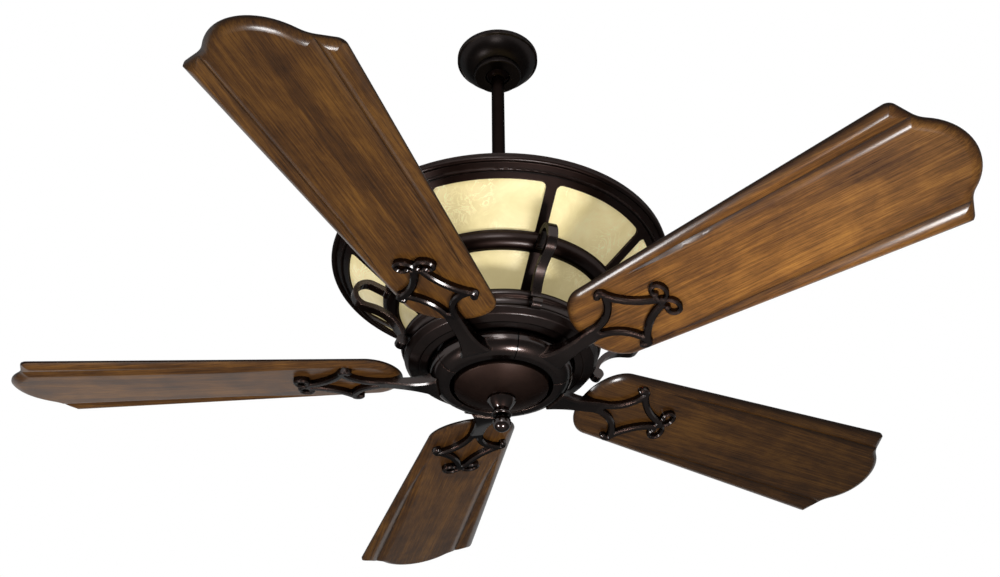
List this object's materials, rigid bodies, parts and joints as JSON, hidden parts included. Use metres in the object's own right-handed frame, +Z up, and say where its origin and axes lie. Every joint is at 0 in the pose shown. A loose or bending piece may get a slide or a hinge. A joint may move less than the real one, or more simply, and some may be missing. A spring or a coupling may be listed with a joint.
{
  "type": "ceiling fan with light",
  "caption": "Ceiling fan with an uplight bowl: carved wooden blades on scrolled irons turn under a caged bowl of tea-coloured glass, hung from a ceiling canopy by a rod and ball.",
  "frame": {"origin": "middle of the ceiling bracket's top face, where it meets the ceiling box", "axes": "+Z up into the ceiling, -Y towards the viewer of the picture, +X to the viewer's right"},
  "size_m": [1.3229, 1.3567, 0.7253],
  "materials": {
    "bronze": "dark rubbed bronze, satin",
    "zinc_steel": "zinc plated",
    "steel": "ground",
    "dark_screws": "dark bronze",
    "iron_core": "plain",
    "copper": "enamelled wire",
    "black_plastic": "matte",
    "white_plastic": "matte",
    "bulb_glass": "frosted",
    "white_metal": "white enamel",
    "cast_aluminium": "as cast",
    "tea_glass": "tea-stained with cloudy veins",
    "walnut": "semi-gloss walnut stain"
  },
  "bodies": {
    "ceiling_mount": {"ceiling_bracket": "zinc_steel", "canopy": "bronze", "canopy_trim_ring": "bronze", "canopy_screws": "dark_screws"},
    "hung_frame": {"hanger_ball": "black_plastic", "hanger_pin": "steel", "downrod": "bronze", "rod_coupling": "bronze", "coupling_pin": "steel", "coupling_screws": "dark_screws", "bowl_rim": "bronze", "bowl_cage": "bronze", "upper_glass_1": "tea_glass", "upper_glass_2": "tea_glass", "upper_glass_3": "tea_glass", "upper_glass_4": "tea_glass", "upper_glass_5": "tea_glass", "upper_glass_6": "tea_glass", "upper_glass_7": "tea_glass", "upper_glass_8": "tea_glass", "lower_glass_1": "tea_glass", "lower_glass_2": "tea_glass", "lower_glass_3": "tea_glass", "lower_glass_4": "tea_glass", "lower_glass_5": "tea_glass", "lower_glass_6": "tea_glass", "lower_glass_7": "tea_glass", "lower_glass_8": "tea_glass", "scroll_bracket_1": "bronze", "scroll_bracket_2": "bronze", "scroll_bracket_3": "bronze", "scroll_bracket_4": "bronze", "lamp_plate": "white_metal", "lamp_sockets": "white_plastic", "bulbs": "bulb_glass", "motor_cover": "bronze", "motor_housing": "bronze", "housing_screws": "dark_screws", "motor_shaft": "steel", "stator_core": "iron_core", "stator_winding": "copper", "bearing_inner_races": "steel", "cap_carrier": "bronze", "dome_cap": "bronze", "finial": "bronze"},
    "rotor": {"rotor_lower": "cast_aluminium", "rotor_upper": "cast_aluminium", "bearing_outer_races": "steel", "blade_iron_1": "bronze", "blade_iron_2": "bronze", "blade_iron_3": "bronze", "blade_iron_4": "bronze", "blade_iron_5": "bronze", "iron_screws": "dark_screws", "blade_1": "walnut", "blade_2": "walnut", "blade_3": "walnut", "blade_4": "walnut", "blade_5": "walnut", "blade_screws": "dark_screws"}
  },
  "joints": [
    {"name": "hanger_swing", "type": "hinge", "parent": "ceiling_mount", "child": "hung_frame", "pos_m": [0, 0, -0.0265], "axis": [0, 1, 0], "range_deg": [-15, 15]},
    {"name": "fan_spin", "type": "hinge", "parent": "hung_frame", "child": "rotor", "pos_m": [0, 0, -0.6223], "axis": [0, 0, 1], "continuous": true}
  ]
}
